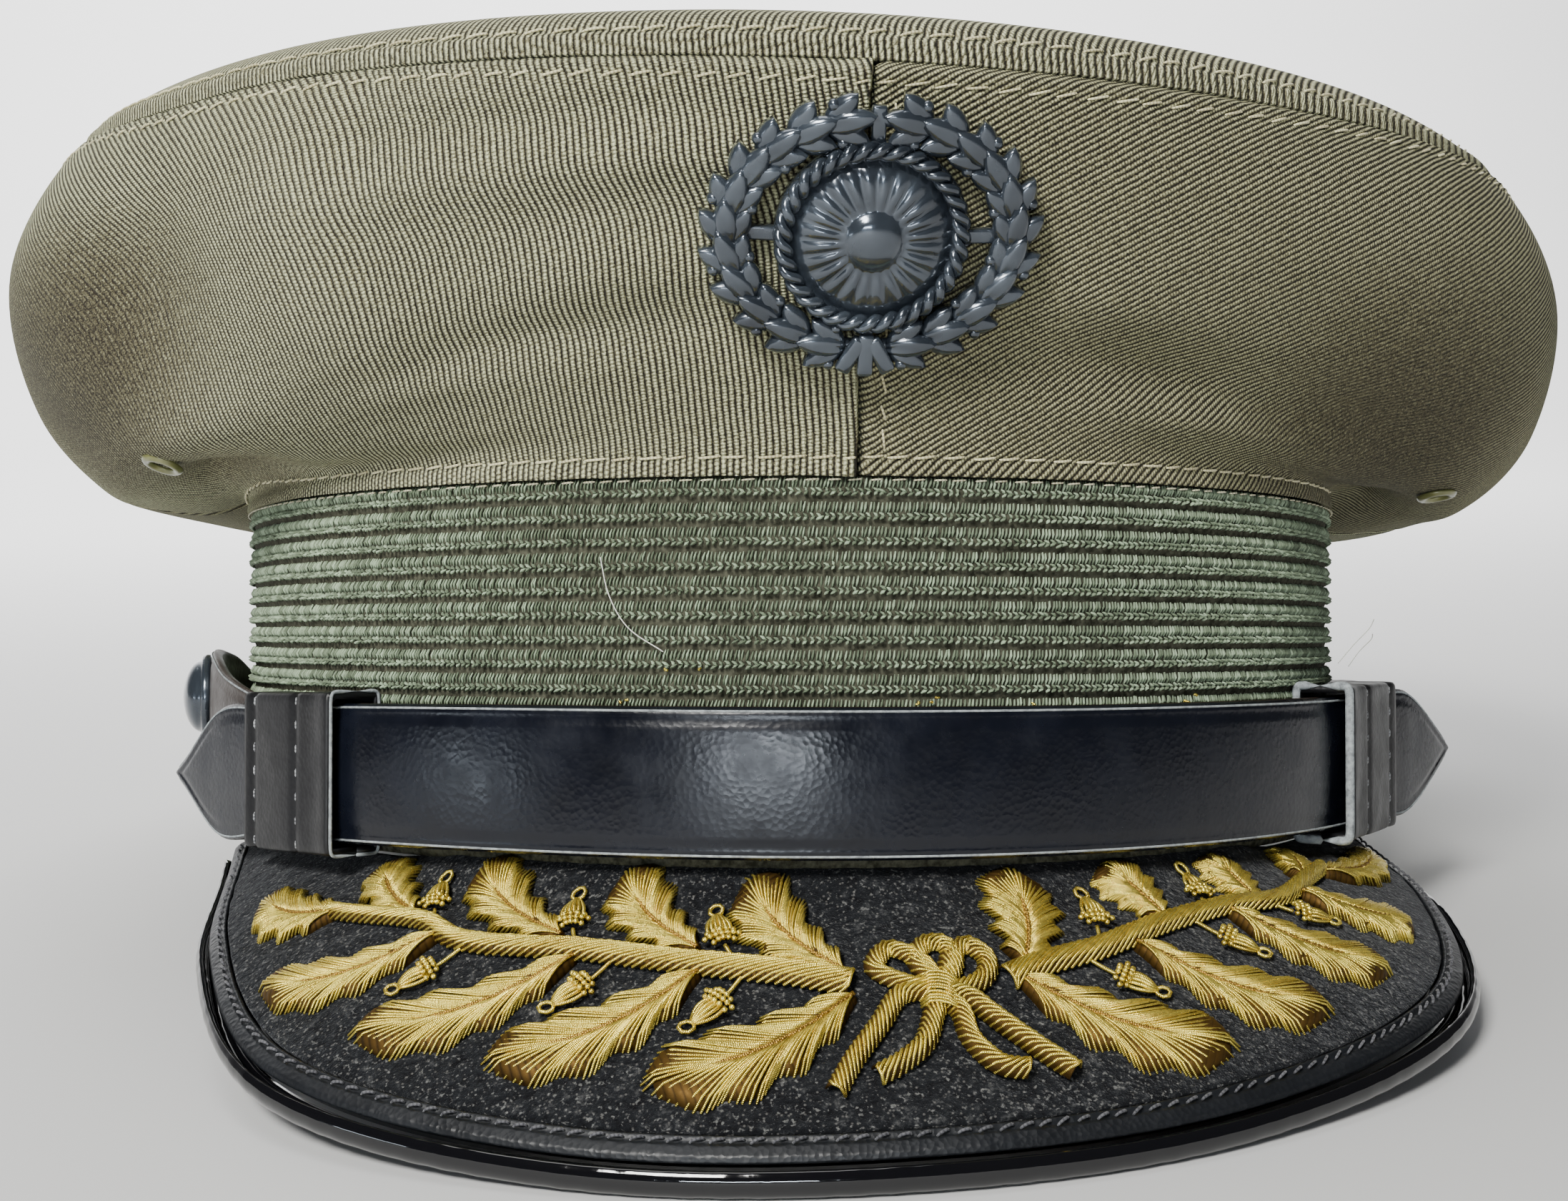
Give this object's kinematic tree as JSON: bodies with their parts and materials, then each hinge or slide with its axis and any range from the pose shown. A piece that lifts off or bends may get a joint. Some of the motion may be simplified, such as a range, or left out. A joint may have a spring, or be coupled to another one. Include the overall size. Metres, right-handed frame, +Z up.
{
  "type": "peaked cap",
  "caption": "Uniform peaked cap with a ribbed braid band, soft wide crown, cloth-covered peak with raised gold oak sprays, and a black leather chin strap with keepers.",
  "frame": {"origin": "centre of the bounding box at the level of the surface that the cap rests on", "axes": "+Z up, -Y the front, where the peak is, +X to the right as seen from the front"},
  "size_m": [0.2474, 0.2824, 0.1286],
  "materials": {
    "crown_cloth": "olive-brown wool twill with fine cords, soft and matt",
    "braid": "grey-green ribbed mohair braid",
    "peak_felt": "black napped felt",
    "strap_leather": "black smooth leather with a soft sheen, grey where it is cut",
    "patent_leather": "black glossy patent leather",
    "gold_bullion": "gold bullion wire embroidery",
    "black_metal": "cast metal with a dark satin finish",
    "eyelet_metal": "olive enamelled metal"
  },
  "bodies": {
    "root": {"band_braid": "braid", "crown_quarter_front_left": "crown_cloth", "crown_quarter_front_right": "crown_cloth", "crown_quarter_back_right": "crown_cloth", "crown_quarter_back_left": "crown_cloth", "crown_top": "crown_cloth", "peak_cloth": "peak_felt", "peak_board": "patent_leather", "peak_binding": "patent_leather", "strap_front": "strap_leather", "strap_back": "strap_leather", "keeper_left": "strap_leather", "keeper_right": "strap_leather", "button_left": "black_metal", "button_right": "black_metal", "eyelet_left": "eyelet_metal", "eyelet_right": "eyelet_metal", "cap_badge": "black_metal", "oak_spray_left": "gold_bullion", "oak_spray_right": "gold_bullion", "bow_knot": "gold_bullion"}
  },
  "joints": []
}
